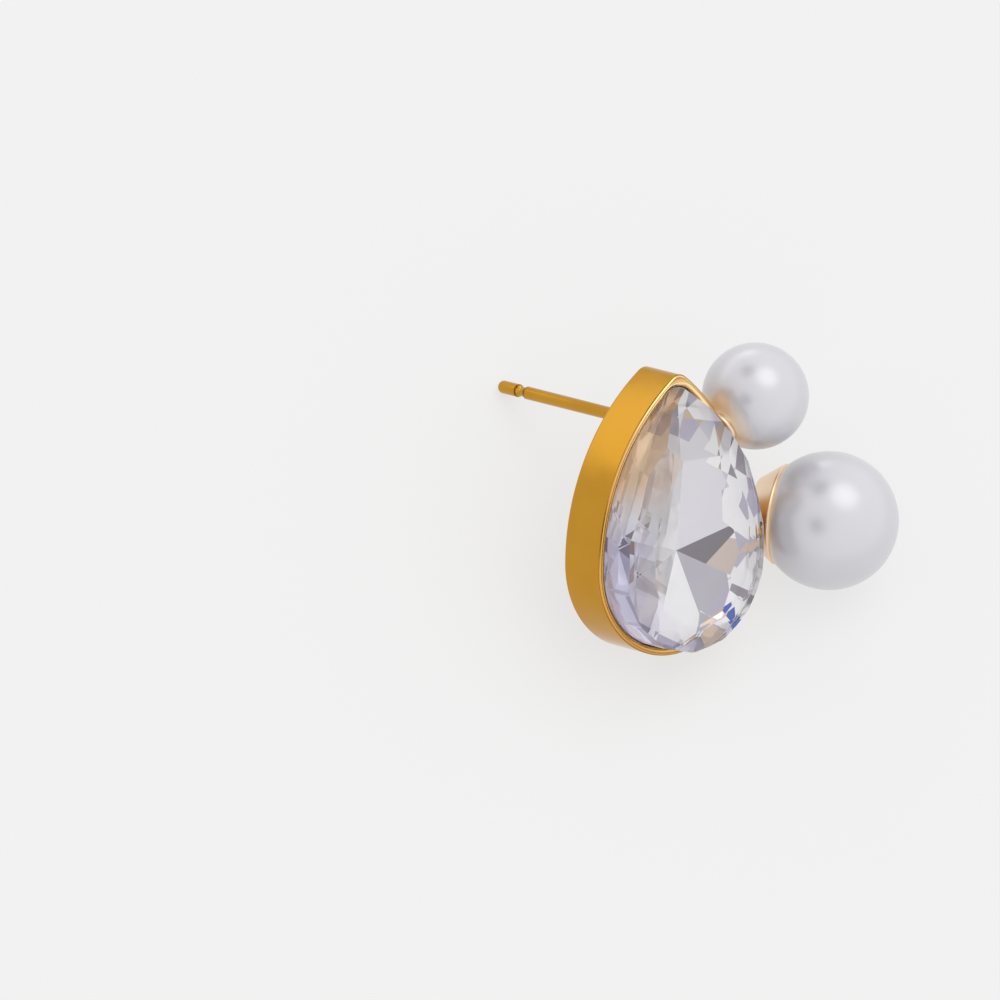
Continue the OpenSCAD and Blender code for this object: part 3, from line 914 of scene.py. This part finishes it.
large_way = towards_dish(LARGE_CUP_DIRECTION, LARGE_CUP_TURN)
small_way = towards_dish(SMALL_DIRECTION, 0)
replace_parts(setting_cup(), "setting")
ear_post()
pearl_dish("large_dish", LARGE_PLACE, LARGE_RADIUS, LARGE_CUP_ANGLE, large_way,
           bell_outside(LARGE_RADIUS, LARGE_CUP_ANGLE))
pearl_dish("small_dish", SMALL_PLACE, SMALL_RADIUS, SMALL_DISH_ANGLE, small_way,
           shell_outside(SMALL_RADIUS, SMALL_DISH_ANGLE))
large_arm()
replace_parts(pearl("large_pearl", LARGE_PLACE, LARGE_RADIUS, large_way, LARGE_CUP_ANGLE, LARGE_REFLECTION_FADE),
            "pearl_large")
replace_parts(pearl("small_pearl", SMALL_PLACE, SMALL_RADIUS, small_way, SMALL_DISH_ANGLE, SMALL_REFLECTION_FADE),
            "pearl_small")
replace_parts(cut_stone(), "crystal")


# Camera, floor and light

# The camera's turn and height are the photograph's. The drop stands upright in the picture,
# and the drop's origin is at a place given in pixels.
AZIMUTH, HEIGHT_ANGLE, ROLL = math.radians(41.4), math.radians(11.7), math.radians(-1.5)
PIXELS_PER_MM = 18.87
ORIGIN_X, ORIGIN_Y = 674.8, 557.5
PICTURE = 1000
DISTANCE = 1200.0
CLIP_START, CLIP_END = 0.1, 10

# Half the floor's side in metres, and how strongly it is lit from below
FLOOR_HALF = 0.2
FLOOR_GLOW = 0.65

# The tent's light, and its brighter and darker places: the direction seen from the camera
# (right, up, towards it), the inner and outer angle in degrees, and the strength
TENT_LIGHT = 1.12
TENT_PLACES = [
    ((0.38, 0.65, 0.66), 12, 27, 1.15),
    ((-0.22, 0.86, -0.41), 6, 20, 1.0),
    ((-0.75, 0.62, -0.2), 15, 25, 0.35),
    ((-0.99, -0.05, -0.12), 21, 24, -0.3),
    ((-0.37, -0.14, 0.92), 4, 17, -1.1),
    ((-0.25, 0.81, 0.5), 4, 18, -1.1)]


def view_axes():
    """Rows with the picture's right, its up and the way to the camera, in the scene."""
    aside, ahead = math.sin(AZIMUTH), math.cos(AZIMUTH)
    flat = math.cos(HEIGHT_ANGLE)
    towards_camera = np.array([-aside * flat, -ahead * flat, math.sin(HEIGHT_ANGLE)])
    level_right = np.array([ahead, -aside, 0])
    level_up = np.cross(towards_camera, level_right)
    right = level_right * math.cos(ROLL) - level_up * math.sin(ROLL)
    up = level_right * math.sin(ROLL) + level_up * math.cos(ROLL)
    return np.stack([right, up, towards_camera]) @ ROTATION.T


VIEW = view_axes()


def camera():
    """Long lens, with the picture's middle at a place in the earring's own plane."""
    aside = (PICTURE / 2 - ORIGIN_X) / PIXELS_PER_MM
    above = (ORIGIN_Y - PICTURE / 2) / PIXELS_PER_MM
    lens = bpy.data.cameras.new("camera")
    lens.lens = lens.sensor_width * DISTANCE * PIXELS_PER_MM / PICTURE
    lens.clip_start, lens.clip_end = CLIP_START, CLIP_END
    made = bpy.data.objects.new("camera", lens)
    matrix = np.eye(4)
    matrix[:3, :3] = VIEW.T
    matrix[:3, 3] = (SHIFT + aside * VIEW[0] + above * VIEW[1] + DISTANCE * VIEW[2]) * MM
    made.matrix_world = Matrix(matrix.tolist())
    bpy.context.scene.collection.objects.link(made)
    bpy.context.scene.camera = made


def floor():
    """Plain pale floor: white milk glass with a matt top, lit a little from below, which
    keeps the shadows soft."""
    material, tree, _ = new_material("lit_milk_glass")
    shader = node(tree, "ShaderNodeBsdfPrincipled", {
        "Base Color": linear("#7C7C7C"), "Roughness": 0.9, "Specular IOR Level": 0.0,
        "Emission Color": linear("#FFFFFF"), "Emission Strength": FLOOR_GLOW})
    end_material(tree, shader)
    mesh = bpy.data.meshes.new("floor")
    corners = [(-FLOOR_HALF, -FLOOR_HALF, 0), (FLOOR_HALF, -FLOOR_HALF, 0),
               (FLOOR_HALF, FLOOR_HALF, 0), (-FLOOR_HALF, FLOOR_HALF, 0)]
    mesh.from_pydata(corners, [], [(0, 1, 2, 3)])
    mesh.materials.append(material)
    made = bpy.data.objects.new("floor", mesh)
    bpy.context.scene.collection.objects.link(made)


def studio():
    """Soft light from all round as in a white tent, with brighter and darker places. Each
    adds its strength inside its inner angle and fades out smoothly to its outer one."""
    world = bpy.data.worlds.new("studio")
    world.use_nodes = True
    tree = world.node_tree
    tree.nodes.clear()
    way = node(tree, "ShaderNodeTexCoord").outputs["Generated"]
    total = TENT_LIGHT
    for seen, inner, outer, strength in TENT_PLACES:
        place = np.array(seen) @ VIEW
        place = tuple(place / np.linalg.norm(place))
        turned_to = node(tree, "ShaderNodeVectorMath", {0: way, 1: place}, operation="DOT_PRODUCT")
        share = node(tree, "ShaderNodeMapRange", {
            "Value": turned_to.outputs["Value"],
            "From Min": math.cos(math.radians(outer)), "From Max": math.cos(math.radians(inner)),
            "To Min": 0.0, "To Max": strength}, interpolation_type="SMOOTHSTEP")
        total = node(tree, "ShaderNodeMath", {0: share.outputs["Result"], 1: total}).outputs["Value"]
    shader = node(tree, "ShaderNodeBackground", {"Color": (1, 1, 1, 1), "Strength": total})
    node(tree, "ShaderNodeOutputWorld", {"Surface": shader.outputs[0]})
    bpy.context.scene.world = world
    bpy.context.scene.view_settings.view_transform = "Standard"


camera()
floor()
studio()
